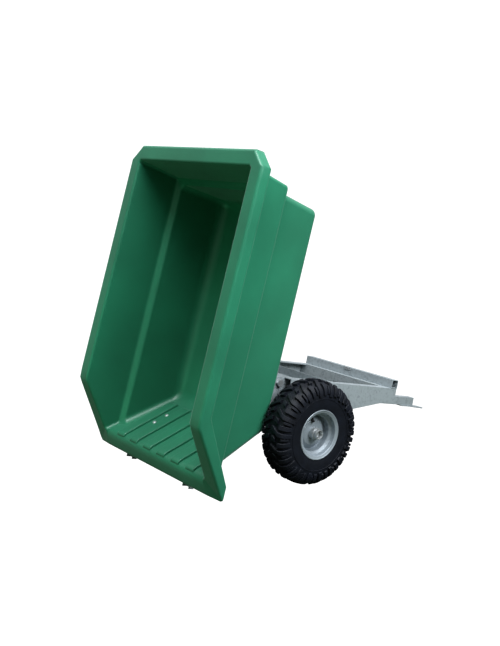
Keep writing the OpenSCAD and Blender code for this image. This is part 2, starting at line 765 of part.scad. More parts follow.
// Hitch plate: a flat seat under the drawbar, then a slight bend down to a round tip with the pin hole
hitch_lap = 102;
hitch_start = drawbar_end - hitch_lap;
hitch_hole_x = hitch_tip - hitch_width / 2;
module hitch_plate() color(galvanised) on_chassis() {
    bend = hitch_start + hitch_seat;
    fall_angle = atan2(hitch_fall, hitch_tip - bend);
    hole_z = drawbar_z - hitch_fall * (hitch_hole_x - bend) / (hitch_tip - bend);
    difference() {
        intersection() {
            upright_sheet(-hitch_width, hitch_width) polygon([
                [hitch_start, drawbar_z], [bend, drawbar_z], [hitch_tip, drawbar_z - hitch_fall],
                [hitch_tip, hitch_tip_z], [bend, drawbar_z - hitch_t], [hitch_start, drawbar_z - hitch_t]]);
            translate([0, 0, hitch_tip_z - past]) linear_extrude(hitch_fall + hitch_t + 2 * past) union() {
                translate([hitch_start, -hitch_width / 2]) square([hitch_hole_x - hitch_start, hitch_width]);
                translate([hitch_hole_x, 0]) circle(d = hitch_width, $fn = round_fn);
            }
        }
        translate([hitch_hole_x, 0, hole_z]) rotate([0, fall_angle, 0])
            cylinder(h = 4 * hitch_t, d = hitch_hole_d, center = true, $fn = round_fn);
    }
}

// Tyre: rings of the section round the axle, with staggered lugs raised from the tread
bead_gap = 0.5;
tread_base = wheel_r - lug_height;
crown_drop = 8;
side_wall = 12;
side_bulge_drop = 70;
shoulder_in = 30;
shoulder_drop = 14;
lug_edge = 0.09;
function tread_r(y) = tread_base - crown_drop * pow(2 * y / tyre_width, 2) * 1.4;
// Half section from the middle of the tread out to the bead and back inside: offset, radius, lug row
function tyre_half() = let (half = tyre_width / 2, bead_r = bead_d / 2 + bead_gap) [
    [2, tread_r(2), 0], [4, tread_r(4), 1], [27, tread_r(27), 1], [30, tread_r(30), 0],
    [33, tread_r(33), 2], [half - 18, tread_r(half - 18), 2], [half - 10, tread_base - 19, 2],
    [half - 7, tread_base - 28, 0], [half, tread_base - 66, 0], [half - 2, rim_flange_d / 2 + 12, 0],
    [rim_width / 2 - rim_sheet - bead_gap, rim_flange_d / 2 + 2, 0],
    [rim_width / 2 - rim_sheet - bead_gap, bead_r + 4, 0],
    [rim_width / 2 - rim_sheet - 4, bead_r, 0], [rim_width / 2 - 24, bead_r, 0],
    [half - side_wall, tread_base - side_bulge_drop, 0], [half - shoulder_in, tread_base - shoulder_drop, 0]];
function reversed(list) = [for (i = [len(list) - 1:-1:0]) list[i]];
function tyre_section() = let (half = tyre_half())
    concat(half, [for (p = reversed(half)) [-p[0], p[1], p[2]]]);
// Share of the lug height at a step round the tyre: rows of one kind rise where the others rest
function lug_share(row, step) = row == 0 ? 0 : (row == 1) == (step % 4 < 2) ? 1 : 0;
module tyre(side) color(tyre_black) on_wheel(side) {
    section = tyre_section();
    n = len(section);
    steps = 4 * lug_count;
    pitch = 360 / lug_count;
    points = [for (step = [0:steps - 1], p = section)
        let (inside = [lug_edge, 0.5 - lug_edge / 2, 0.5 + lug_edge / 2, 1 - lug_edge / 2],
            angle = pitch * (floor(step / 4) + inside[step % 4]) - 90,
            r = p[1] + lug_height * lug_share(p[2], step))
        [r * cos(angle), r * sin(angle), p[0]]];
    faces = [for (step = [0:steps - 1], i = [0:n - 1])
        let (next = (step + 1) % steps, j = (i + 1) % n)
        each [[step * n + i, next * n + i, next * n + j], [step * n + i, next * n + j, step * n + j]]];
    polyhedron(points = points, faces = faces);
}

// Pressed rim: flanges, bead seats, drop centre and a dished disc round the hub
rim_drop_depth = 14;
disc_offset = 8;
disc_depth = 18;
disc_flat_r = 46;
module rim(side) color(rim_silver) on_wheel(side) rotate_extrude($fn = 2 * round_fn) {
    half = rim_width / 2;
    seat = bead_d / 2;
    flange = rim_flange_d / 2;
    well = seat - rim_drop_depth;
    upper = [[half - rim_sheet, flange], [half - rim_sheet, seat + 3.5], [half - 8, seat],
        [half - 31, seat - 0.8], [half - 37, seat - 2], [half - 49, well]];
    lower = [[half, flange], [half, seat + 0.5], [half - 5, seat - rim_sheet],
        [half - 30, seat - rim_sheet - 0.8], [half - 35, seat - rim_sheet - 2],
        [half - 47, well - rim_sheet]];
    polygon(concat(
        [for (p = upper) [p[1], p[0]]], [for (p = reversed(upper)) [p[1], -p[0]]],
        [for (p = lower) [p[1], -p[0]]], [for (p = reversed(lower)) [p[1], p[0]]]));
    disc_r = well - rim_sheet / 2;
    low = disc_offset - disc_depth;
    polygon([[disc_r, disc_offset + rim_sheet], [disc_r, disc_offset], [disc_flat_r, low],
        [hub_d / 2, low], [hub_d / 2, low + rim_sheet], [disc_flat_r - 1, low + rim_sheet]]);
}

// Hub tube with the bright ring at its outer end
module hub(side) color(zinc_bright) on_axle_end(side) difference() {
    union() {
        translate([0, 0, hub_in]) cylinder(h = hub_length, d = hub_d, $fn = round_fn);
        translate([0, 0, hub_in]) cylinder(h = hub_length + hub_ring_l, d = hub_ring_d, $fn = round_fn);
    }
    translate([0, 0, hub_in - past])
        cylinder(h = hub_length + hub_ring_l + 2 * past, d = hub_bore_d, $fn = round_fn);
}

module hub_bushes(side) color(dark_steel) on_axle_end(side)
    for (start = [hub_in, bush_end - bush_length]) translate([0, 0, start]) difference() {
        cylinder(h = bush_length, d = hub_bore_d, $fn = round_fn);
        translate([0, 0, -past])
            cylinder(h = bush_length + 2 * past, d = spindle_d + 2 * running_gap, $fn = round_fn);
    }

// Rubber valve stem leaning in from the drop centre
valve_d = 11;
valve_l = 36;
valve_lean = 35;
valve_gap = 0.3;
valve_setback = 56;
module valve(side) color(rubber_black) on_wheel(side) rotate([0, 0, -valve_angle])
    translate([bead_d / 2 - rim_drop_depth - rim_sheet, 0, rim_width / 2 - valve_setback])
        intersection() {
            rotate([0, valve_lean - 90, 0]) translate([0, 0, -valve_d])
                cylinder(h = valve_l + valve_d, d = valve_d, $fn = round_fn);
            box([-2 * valve_l, -valve_l, -valve_l], [-valve_gap, valve_l, 2 * valve_l]);
        }

tub_shell();
rail(1);  // rail_left
rail(-1);  // rail_right
hinge_plate(1);  // hinge_plate_left
hinge_plate(-1);  // hinge_plate_right
chute_bolts();
chute_nuts();
latch_shaft();
latch_hook();
latch_handle();
latch_grip();
side_member(1);  // side_member_left
side_member(-1);  // side_member_right
front_cross_member();
front_crossbar();
rest_plate();
tray_cross_member();
axle_beam();
stub_axle(1);  // stub_axle_left
stub_axle(-1);  // stub_axle_right
hinge_cheek(1);  // hinge_cheek_left
hinge_cheek(-1);  // hinge_cheek_right
pivot_bolt(1);  // pivot_bolt_left
pivot_bolt(-1);  // pivot_bolt_right
pivot_nuts();
tip_stop_tube();
stop_buffers();
latch_keeper();
drawbar_tube();
drawbar_post();
drawbar_packer();
hitch_plate();
axle_washers();
axle_nuts();
tyre(1);  // tyre_left
tyre(-1);  // tyre_right
rim(1);  // rim_left
rim(-1);  // rim_right
hub(1);  // hub_left
hub(-1);  // hub_right
hub_bushes(1);  // hub_bushes_left
hub_bushes(-1);  // hub_bushes_right
valve(1);  // valve_left
valve(-1);  // valve_right
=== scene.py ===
import json
import math

import bmesh
import bpy
from bpy.props import FloatProperty, IntProperty, PointerProperty, StringProperty
from mathutils import Matrix, Vector


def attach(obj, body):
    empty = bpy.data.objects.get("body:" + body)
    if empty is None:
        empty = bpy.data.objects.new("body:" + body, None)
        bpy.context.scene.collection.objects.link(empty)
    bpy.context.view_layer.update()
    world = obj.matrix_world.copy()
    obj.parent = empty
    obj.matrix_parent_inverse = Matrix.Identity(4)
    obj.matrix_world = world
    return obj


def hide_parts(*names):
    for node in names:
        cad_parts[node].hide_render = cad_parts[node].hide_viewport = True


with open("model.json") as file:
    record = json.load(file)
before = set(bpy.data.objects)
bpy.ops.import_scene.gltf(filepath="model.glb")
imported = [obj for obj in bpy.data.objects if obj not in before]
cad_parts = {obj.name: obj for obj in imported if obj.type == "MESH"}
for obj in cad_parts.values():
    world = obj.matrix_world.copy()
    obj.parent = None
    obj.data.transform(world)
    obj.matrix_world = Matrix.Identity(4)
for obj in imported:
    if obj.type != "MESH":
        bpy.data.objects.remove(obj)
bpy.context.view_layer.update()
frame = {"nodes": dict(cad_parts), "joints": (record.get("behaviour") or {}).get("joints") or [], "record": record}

bl_info = {
    "name": "Tipping Dump Cart",
    "version": (1, 0, 0),
    "blender": (4, 5, 0),
    "location": "View3D > Sidebar > Dump Cart",
    "description": "Dresses the packed frame of a tipping dump cart with its moulded tub, wheels and steel",
    "category": "Object",
}

JOINT_PLACE = {joint["name"]: Vector(joint["pos_m"]) for joint in frame["joints"]}

# Sizes below are in millimetres, unless a comment says otherwise
# The tub tips about a point at this place along its floor, and this far below the floor
PIVOT_ALONG, PIVOT_BELOW = 500.0, 72.0
# Slope of the tipped tub's floor
TUB_TILT = math.radians(72.4997)
# Height of the rim above the floor
TUB_DEPTH = 506.0
# Floor of the tub: its rear edge, its front edge and its half width
FLOOR_REAR, FLOOR_FRONT, FLOOR_HALF = 277.0, 1307.0, 340.0
# Ledge round the walls: its two heights outside, and how far it steps out
LEDGE_LOW, LEDGE_TOP, LEDGE_STEP = 249.0, 264.0, 30.0
# The ledge lies this much higher inside than outside
LEDGE_LIFT = 20.0
# How far the side walls and the front wall lean out between the floor and the ledge
SIDE_LEAN, FRONT_LEAN = 44.0, 19.0
# The outer wall at the height of the rim: its half width and its front end
OPENING_HALF, OPENING_END = 439.0, 1386.0
# Radius of the corners below and above the ledge
LOWER_CORNER, UPPER_CORNER = 32.0, 16.0
# The lip: height of its top and of its underside, and the rear end of the rim's side faces
LIP_HEIGHT, LIP_UNDER, LIP_FACE = 299.0, 286.0, 56.0
# Where the slope of the rim ends, and the softness and lift of that bend
RIM_BEND, BEND_SOFT, BEND_LIFT = 287.0, 5.0, 0.2
# How far the rounded lip stands behind the slope's zero line
LIP_REACH = 9.0
# How far the lip's edge stands above the line of the slopes at its sides
LIP_LIFT = 17.0
# Where the top of a side wall begins at its rear corner
SIDE_START = 66.1
# Rim outline at a rear corner, from the side round to the lip: share of the corner, along and across
LIP_CORNER = [(0, LIP_FACE, 0), (0.375, 6, 0), (0.5, -4, 3), (0.625, -LIP_REACH, 13), (1, -LIP_REACH, 100)]
# Slope of the chute, and its directions up the slope and into the tub
CHUTE_LEAN = math.radians(33.2)
CHUTE_ALONG = Vector((-math.sin(CHUTE_LEAN), 0, math.cos(CHUTE_LEAN)))
CHUTE_IN = Vector((math.cos(CHUTE_LEAN), 0, math.sin(CHUTE_LEAN)))
# Where the chute ends in the slope of the rim, as a distance up the chute
CHUTE_END = 405.0
# How far the rounding reaches at the chute's end, and at the top of the other inner walls
CHUTE_EDGE, INNER_EDGE = 38.0, 11.0
# How far the flat floor is held in from the walls, outside and inside
OUTER_INSET, INNER_INSET = 60.0, 125.0
# Height and place of the rim depend on each other, and are settled in this many passes
SETTLING_PASSES = 40
# A plank starts this far up the chute, and ends this far before the chute's end
PLANK_START, PLANK_GAP = 66.0, 9.0
# A rounding takes at most this share of the straight runs beside it, in this many steps
ROUNDING_SHARE, ROUNDING_STEPS = 0.45, 4

# Section of the tyre's carcass from the crown to the bead: across and radius
CARCASS = [(0, 229), (20, 228.4), (38, 226.2), (52, 222), (62.5, 214), (69.5, 202), (74, 186), (76, 168),
           (76, 150), (75, 134), (73, 122)]
# Section of the bead, and of the tyre's inside from the bead to the crown
BEAD = [(71.5, 116.5), (70, 108), (66, 102.2), (51, 102.2)]
LINING = [(60, 118), (67, 150), (66, 175), (58, 205), (40, 217), (0, 220)]
# Section of the plain ring on a sidewall
SIDEWALL_RING = [(75.0, 168.5), (77.6, 167.5), (78, 166), (77.6, 164.5), (75.0, 163.5)]
# Lugs of half the tread, by stations: travel round the section, place along the tread, half width, height
LUGS = [
    [(4, -27, 8, 12), (10, -27, 10, 12), (20, -23, 10, 12.2), (30, -15, 9.5, 12.4), (40, -7, 9.5, 12.5),
     (52, -2, 10, 12.4), (64, 0, 10.5, 12.2), (76, 0, 11, 11), (90, 0, 11, 9), (105, 0, 11, 7.5),
     (108, 0, 9.5, 1)],
    [(14, 14, 9, 12), (24, 18, 10, 12.2), (34, 24, 9, 12.4)],
    [(58, 20.5, 5, 10.5), (62, 20.5, 6, 11), (76, 20.5, 6.5, 10), (88, 20.5, 6.5, 8), (93, 20.5, 6, 6.5),
     (95, 20.5, 5, 1)],
    [(44, 46, 9, 12.4), (47, 46, 10.5, 12.5), (64, 46, 11, 12.2), (76, 46, 11, 11), (88, 46, 11, 9),
     (99, 46, 10.5, 7.5), (102, 46, 9, 1)]]
# Radius at which places along the tread are measured
TREAD_RADIUS = 236.0
# Section of the dished disc of a rim
RIM_DISC = [(8, 84.5), (8, 78), (11, 74), (24, 60), (27, 55), (27, 27.5), (23, 27.5), (23, 53), (20, 58),
            (7, 72), (4, 77), (4, 84.5)]
# Steps round a tyre and round a rim
TYRE_STEPS, RIM_STEPS = 120, 128

# Edges sharper than this many degrees stay crisp on the tub, the wheels and the steel
TUB_CREASE, WHEEL_CREASE, STEEL_CREASE = 50, 35, 35
# Points closer than this, in metres, become one in a new mesh and in a mesh of the frame
SAME_POINT, FRAME_POINT = 1e-6, 1e-5

# The studio floor: half its width, and how far it lies below the wheels
FLOOR_REACH, FLOOR_DROP = 20000, 0.5
# Light of the sky at the horizon and overhead, and how late it rises between them
SKY_LOW, SKY_HIGH, SKY_RISE = 0.1, 1.7, 3.0
# Tints of the lamps
COOL, GREEN = (0.93, 0.97, 1.0), (0.2, 1.0, 0.5)
# Lamps: name, place and aim in metres, watts, width in metres, tint, and whether a gloss mirrors the lamp
LAMPS = [
    ("side_light", (0.3, -3.6, 3.5), (-0.4, 0, 0.9), 90, 2.8, COOL, True),
    ("side_fill", (0.3, -3.6, 3.5), (-0.4, 0, 0.9), 160, 2.2, COOL, False),
    ("overhead_light", (-1.6, -0.9, 5.0), (-0.5, 0, 0.8), 148, 2.0, COOL, True),
    ("ground_bounce", (-2.7, 0.2, 0.25), (-0.5, 0, 1.1), 12, 1.6, GREEN, True)]
# Camera: sensor and lens, shift of the frame, place in metres and turn in degrees
SENSOR_WIDTH, LENS = 36.0, 51.43
FRAME_SHIFT = (-0.0015, -0.0679)
CAMERA_PLACE = (-3.0208, -3.4246, 1.6287)
CAMERA_TURN = (80.44, 0.11, -38.553)


class TubSizes(bpy.types.PropertyGroup):
    """Sizes of the moulded tub, in millimetres, in the tub's own frame."""
    depth: FloatProperty(name="Depth", description="Height of the rim above the floor", default=TUB_DEPTH)
    wall: FloatProperty(name="Wall", description="Thickness of the moulded wall", default=8)
    rim_half: FloatProperty(name="Rim Half Width", description="Half of the tub's width", default=504)
    rim_end: FloatProperty(name="Rim End", description="Front end of the rim", default=1451)
    rim_drop: FloatProperty(name="Rim Drop", description="Height of the rim's outer face", default=56)
    chamfer: FloatProperty(name="Chamfer", description="Cut at the front rim corners", default=72)
    planks: IntProperty(name="Planks", description="Raised planks on the chute", default=6)
    plank_pitch: FloatProperty(name="Plank Pitch", description="Distance between planks", default=115)
    plank_width: FloatProperty(name="Plank Width", description="Width of one plank", default=60)
    plank_rise: FloatProperty(name="Plank Rise", description="Height of a plank", default=10)
    colour: StringProperty(name="Colour", description="Moulded colour, sRGB hex", default="#237257")


class WheelSizes(bpy.types.PropertyGroup):
    """Sizes of the wheels, in millimetres, in a frame with y along the axle."""
    lugs: IntProperty(name="Lugs", description="Lugs in one row", default=18)
    rim_half: FloatProperty(name="Rim Half Width", description="Half of the rim's width", default=75)
    flange: FloatProperty(name="Flange Radius", description="Radius of the flange", default=115.5)
    tyre_colour: StringProperty(name="Tyre", description="Rubber, sRGB hex", default="#11151e")
    rim_colour: StringProperty(name="Rim", description="Rim paint, sRGB hex", default="#9aa3aa")


class SteelSizes(bpy.types.PropertyGroup):
    """Finish of the steelwork."""
    edge: FloatProperty(name="Edge", description="Width of the worn edges", default=0.0009, unit="LENGTH")
    colour: StringProperty(name="Zinc", description="Galvanised colour, sRGB hex", default="#9aa2a6")


def linear(hex_text, shade=1.0):
    """Turns an sRGB hex colour, or a darker or lighter shade of it, into linear RGBA."""
    shares = [int(hex_text[i:i + 2], 16) / 255 for i in (1, 3, 5)]
    plain = [s / 12.92 if s <= 0.04045 else ((s + 0.055) / 1.055) ** 2.4 for s in shares]
    return [min(1.0, c * shade) for c in plain] + [1.0]


def node(tree, kind, inputs=None, **settings):
    """Adds a node with its settings, and fills its inputs with values or links."""
    made = tree.nodes.new(kind)
    for name, value in settings.items():
        setattr(made, name, value)
    for key, value in (inputs or {}).items():
        if isinstance(value, bpy.types.NodeSocket):
            tree.links.new(value, made.inputs[key])
        else:
            made.inputs[key].default_value = value
    return made


def new_material(name):
    """An empty material and its node tree."""
    material = bpy.data.materials.new(name)
    material.use_nodes = True
    material.node_tree.nodes.clear()
    return material, material.node_tree


def per_mm(size):
    """Scale of a texture whose cells measure this many millimetres."""
    return 1000 / size


def moulded_polyethylene(colour):
    """Rotationally moulded polyethylene: a waxy soft gloss, faint clouding and a fine pebbled skin."""
    material, tree = new_material("rotomoulded_polyethylene")
    place = node(tree, "ShaderNodeTexCoord").outputs["Object"]
    cloud = node(tree, "ShaderNodeTexNoise", {"Vector": place, "Scale": per_mm(260), "Detail": 3.0})
    # The pebbles are drawn coarser than real ones, so that they show
    skin = node(tree, "ShaderNodeTexNoise", {"Vector": place, "Scale": per_mm(7), "Detail": 2.0})
    tint = node(tree, "ShaderNodeValToRGB", {"Fac": cloud.outputs["Fac"]})
    for stop, position, shade in zip(tint.color_ramp.elements, (0.35, 0.68), (0.9, 1.1)):
        stop.position, stop.color = position, linear(colour, shade)
    gloss = node(tree, "ShaderNodeMapRange", {"Value": skin.outputs["Fac"], "To Min": 0.36, "To Max": 0.5})
    bump = node(tree, "ShaderNodeBump", {
        "Height": skin.outputs["Fac"], "Strength": 0.12, "Distance": 0.0006})
    shader = node(tree, "ShaderNodeBsdfPrincipled", {
        "Base Color": tint.outputs["Color"], "Roughness": gloss.outputs["Result"], "IOR": 1.52,
        "Specular IOR Level": 0.65, "Sheen Weight": 0.35, "Sheen Roughness": 0.4,
        "Normal": bump.outputs["Normal"]})
    node(tree, "ShaderNodeOutputMaterial", {"Surface": shader.outputs["BSDF"]})
    return material


def galvanised_steel(colour):
    """Hot-dip galvanised steel: dull grey zinc with frosty spangles and faint runs from the bath."""
    material, tree = new_material("hot_dip_galvanised_steel")
    place = node(tree, "ShaderNodeTexCoord").outputs["Object"]
    spangle = node(tree, "ShaderNodeTexVoronoi", {"Vector": place, "Scale": per_mm(11)})
    run_place = node(tree, "ShaderNodeMapping", {"Vector": place, "Scale": (1.0, 1.0, 0.12)})
    runs = node(tree, "ShaderNodeTexNoise", {
        "Vector": run_place.outputs["Vector"], "Scale": per_mm(24), "Detail": 4.0})
    grey = node(tree, "ShaderNodeRGBToBW", {"Color": spangle.outputs["Color"]})
    frost = node(tree, "ShaderNodeMath", {0: grey.outputs["Val"], 1: runs.outputs["Fac"]}, operation="ADD")
    tint = node(tree, "ShaderNodeValToRGB", {"Fac": frost.outputs["Value"]})
    for stop, position, shade in zip(tint.color_ramp.elements, (0.55, 1.0), (0.84, 1.06)):
        stop.position, stop.color = position, linear(colour, shade)
    dull = node(tree, "ShaderNodeMapRange", {
        "Value": frost.outputs["Value"], "From Min": 0.5, "From Max": 1.1, "To Min": 0.7, "To Max": 0.52})
    bump = node(tree, "ShaderNodeBump", {
        "Height": frost.outputs["Value"], "Strength": 0.08, "Distance": 0.0004})
    shader = node(tree, "ShaderNodeBsdfPrincipled", {
        "Base Color": tint.outputs["Color"], "Metallic": 0.25, "Roughness": dull.outputs["Result"],
        "Normal": bump.outputs["Normal"]})
    node(tree, "ShaderNodeOutputMaterial", {"Surface": shader.outputs["BSDF"]})
    return material


def plated_steel(name, colour, smooth, rough):
    """Bright zinc-plated or oiled turned steel: a metal gloss with fine turning marks."""
    material, tree = new_material(name)
    place = node(tree, "ShaderNodeTexCoord").outputs["Object"]
    # The marks are drawn coarser than real ones, so that they show
    marks = node(tree, "ShaderNodeTexNoise", {"Vector": place, "Scale": per_mm(2.5), "Detail": 3.0})
    gloss = node(tree, "ShaderNodeMapRange", {
        "Value": marks.outputs["Fac"], "To Min": smooth, "To Max": rough})
    bump = node(tree, "ShaderNodeBump", {
        "Height": marks.outputs["Fac"], "Strength": 0.06, "Distance": 0.0002})
    shader = node(tree, "ShaderNodeBsdfPrincipled", {
        "Base Color": linear(colour), "Metallic": 0.8, "Roughness": gloss.outputs["Result"],
        "Normal": bump.outputs["Normal"]})
    node(tree, "ShaderNodeOutputMaterial", {"Surface": shader.outputs["BSDF"]})
    return material


def silver_powder_coat(colour):
    """Silver powder coat on pressed steel: fine metal flakes in a satin film with orange peel."""
    material, tree = new_material("silver_powder_coat")
    place = node(tree, "ShaderNodeTexCoord").outputs["Object"]
    # The flakes and the peel are drawn coarser than real ones, so that they show
    flakes = node(tree, "ShaderNodeTexVoronoi", {"Vector": place, "Scale": per_mm(1.6)})
    peel = node(tree, "ShaderNodeTexNoise", {"Vector": place, "Scale": per_mm(3), "Detail": 1.0})
    grey = node(tree, "ShaderNodeRGBToBW", {"Color": flakes.outputs["Color"]})
    tint = node(tree, "ShaderNodeValToRGB", {"Fac": grey.outputs["Val"]})
    for stop, shade in zip(tint.color_ramp.elements, (0.86, 1.12)):
        stop.color = linear(colour, shade)
    bump = node(tree, "ShaderNodeBump", {"Height": peel.outputs["Fac"], "Strength": 0.1, "Distance": 0.0003})
    shader = node(tree, "ShaderNodeBsdfPrincipled", {
        "Base Color": tint.outputs["Color"], "Metallic": 0.4, "Roughness": 0.42, "Coat Weight": 0.1,
        "Coat Roughness": 0.15, "Normal": bump.outputs["Normal"]})
    node(tree, "ShaderNodeOutputMaterial", {"Surface": shader.outputs["BSDF"]})
    return material


def moulded_rubber(name, colour, rough):
    """Vulcanised rubber: nearly black, with a dusty bloom on it and a fine matt grain."""
    material, tree = new_material(name)
    place = node(tree, "ShaderNodeTexCoord").outputs["Object"]
    bloom = node(tree, "ShaderNodeTexNoise", {"Vector": place, "Scale": per_mm(45), "Detail": 4.0})
    # The grain is drawn coarser than a real one, so that it shows
    grain = node(tree, "ShaderNodeTexNoise", {"Vector": place, "Scale": per_mm(3), "Detail": 2.0})
    tint = node(tree, "ShaderNodeValToRGB", {"Fac": bloom.outputs["Fac"]})
    for stop, position, shade in zip(tint.color_ramp.elements, (0.35, 0.75), (0.75, 1.35)):
        stop.position, stop.color = position, linear(colour, shade)
    bump = node(tree, "ShaderNodeBump", {
        "Height": grain.outputs["Fac"], "Strength": 0.15, "Distance": 0.0005})
    shader = node(tree, "ShaderNodeBsdfPrincipled", {
        "Base Color": tint.outputs["Color"], "Roughness": rough, "IOR": 1.52,
        "Normal": bump.outputs["Normal"]})
    node(tree, "ShaderNodeOutputMaterial", {"Surface": shader.outputs["BSDF"]})
    return material


def piece_of(name, mesh, body, replaced=()):
    """Links a finished mesh as a piece that rides on a body."""
    piece = bpy.data.objects.new(name, mesh)
    bpy.context.scene.collection.objects.link(piece)
    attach(piece, body)
    if replaced:
        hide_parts(*replaced)
    return piece


def smooth_mesh(name, verts, faces, material):
    """A mesh in metres from points in millimetres, smooth shaded, with its faces turned outwards."""
    mesh = bpy.data.meshes.new(name)
    mesh.from_pydata([Vector(v) / 1000 for v in verts], [], faces)
    form = bmesh.new()
    form.from_mesh(mesh)
    bmesh.ops.remove_doubles(form, verts=form.verts, dist=SAME_POINT)
    bmesh.ops.recalc_face_normals(form, faces=form.faces)
    form.to_mesh(mesh)
    form.free()
    mesh.polygons.foreach_set("use_smooth", [True] * len(mesh.polygons))
    mesh.materials.append(material)
    return mesh


def joined(name, meshes, material):
    """One or more meshes as a new one, smooth shaded."""
    form = bmesh.new()
    for mesh in meshes:
        form.from_mesh(mesh)
    made = bpy.data.meshes.new(name)
    form.to_mesh(made)
    form.free()
    made.polygons.foreach_set("use_smooth", [True] * len(made.polygons))
    made.materials.clear()
    made.materials.append(material)
    return made


def crisp(piece, angle):
    """Splits the shading at sharp edges and lets large faces lead the shading."""
    piece.data.set_sharp_from_angle(angle=math.radians(angle))
    modifier = piece.modifiers.new("weighted", "WEIGHTED_NORMAL")
    modifier.keep_sharp = True


def quads(columns, rows, ring_of_columns, ring_of_rows):
    """Quads between neighbouring columns of points, where either way may close to a ring."""
    faces = []
    for c in range(columns if ring_of_columns else columns - 1):
        for r in range(rows if ring_of_rows else rows - 1):
            on, up = (c + 1) % columns, (r + 1) % rows
            faces.append([c * rows + r, on * rows + r, on * rows + up, c * rows + up])
    return faces


def tube_faces(stations, rows):
    """Faces of a tube through closed sections, with both its ends."""
    last = (stations - 1) * rows
    return quads(stations, rows, False, True) + [list(range(rows)), [last + r for r in range(rows)]]


def rounded_path(points, reaches):
    """Rounds the inner corners of an open path, with the same number of points for each corner."""
    path = [points[0]]
    for before, corner, after, reach in zip(points, points[1:], points[2:], reaches):
        back, on = before - corner, after - corner
        start = corner + back.normalized() * min(reach, ROUNDING_SHARE * back.length)
        end = corner + on.normalized() * min(reach, ROUNDING_SHARE * on.length)
        for step in range(ROUNDING_STEPS + 1):
            share = step / ROUNDING_STEPS
            path.append(start.lerp(corner, share).lerp(corner.lerp(end, share), share))
    path.append(points[-1])
    return path


def tub_to_cart(point):
    """Place in the frame of the whole cart of a point along, across and above the tub's floor."""
    along, across, above = point
    pivot = JOINT_PLACE["tub_tip"] * 1000
    a, b = along - PIVOT_ALONG, above + PIVOT_BELOW
    return Vector((pivot.x + a * math.cos(TUB_TILT) - b * math.sin(TUB_TILT), across,
                   pivot.z + a * math.sin(TUB_TILT) + b * math.cos(TUB_TILT)))


def chute_point(along, inward, across):
    """A point up the chute from the floor, a distance in from its outer face and across the tub."""
    return Vector((FLOOR_REAR, across, 0)) + CHUTE_ALONG * along + CHUTE_IN * inward


def wall_reach(above, floor, lean, opening):
    """How far out a wall stands at a height: it leans out, steps at the ledge and leans on to the rim."""
    if above <= LEDGE_LOW:
        return floor + lean * above / LEDGE_LOW
    low = floor + lean
    if above <= LEDGE_TOP:
        return low + LEDGE_STEP * (above - LEDGE_LOW) / (LEDGE_TOP - LEDGE_LOW)
    share = (above - LEDGE_TOP) / (TUB_DEPTH - LEDGE_TOP)
    return low + LEDGE_STEP + (opening - low - LEDGE_STEP) * share


def wall_half(above):
    """Half width of the tub's outer wall at a height."""
    return wall_reach(above, FLOOR_HALF, SIDE_LEAN, OPENING_HALF)


def wall_front(above):
    """Front end of the tub's outer wall at a height."""
    return wall_reach(above, FLOOR_FRONT, FRONT_LEAN, OPENING_END)


def wall_rear(above):
    """Rear end of the tub's outer wall at a height: the outer face of the chute."""
    return FLOOR_REAR - above * math.tan(CHUTE_LEAN)


def corner_at(above):
    """Corner radius of the tub at a height."""
    share = min(1.0, max(0.0, (above - LEDGE_LOW) / (LEDGE_TOP - LEDGE_LOW)))
    return LOWER_CORNER + (UPPER_CORNER - LOWER_CORNER) * share


def rim_top(along, depth):
    """Height of the rim's top face, with a soft bend where the slope to the lip begins."""
    slope = LIP_HEIGHT + (depth - LIP_HEIGHT) * along / RIM_BEND
    return 0.5 * (slope + depth - math.sqrt((slope - depth) ** 2 + BEND_SOFT ** 2)) + BEND_LIFT


def rim_under(along, sizes):
    """Height of the rim's underside, level below the lip and rising to the bend."""
    level = sizes.depth - sizes.rim_drop
    bend = RIM_BEND + sizes.rim_drop * (sizes.depth - LIP_HEIGHT) / RIM_BEND
    slope = LIP_UNDER + (level - LIP_UNDER) * (along - LIP_FACE) / (bend - LIP_FACE)
    return max(LIP_UNDER, min(level, slope))


class WallColumn:
    """One line up the wall: a place on a side, the front, the chute or a rounded corner."""

    def __init__(self, kind, share, side=1):
        self.kind, self.share, self.side = kind, share, side

    def at(self, above, wall=0.0, lift=0.0):
        """Place on the outer wall at a height, or on the inner wall for a wall and a lift of the ledge."""
        rear = wall_rear(above) + wall / math.cos(CHUTE_LEAN)
        front, half = wall_front(above - lift) - wall, wall_half(above - lift) - wall
        corner = corner_at(above - lift)
        if self.kind == "side":
            along = rear + corner + (front - rear - 2 * corner) * self.share
            return Vector((along, self.side * half, above))
        if self.kind == "front":
            return Vector((front, self.share * (half - corner), above))
        if self.kind == "chute":
            return Vector((rear, self.share * (half - corner), above))
        turn = math.radians(90 * self.share)
        out = Vector((math.sin(turn), math.cos(turn))) * corner
        across = self.side * (half - corner + out.y)
        if self.kind == "front corner":
            return Vector((front - corner + out.x, across, above))
        return Vector((rear + corner - out.x, across, above))

    def inset(self, above, wall, distance):
        """Place on the floor, held a distance in from all the walls."""
        place = self.at(above, wall)
        rear = wall_rear(above) + wall / math.cos(CHUTE_LEAN) + distance
        front, half = wall_front(above) - wall - distance, wall_half(above) - wall - distance
        return Vector((min(front, max(rear, place.x)), min(half, max(-half, place.y)), above))


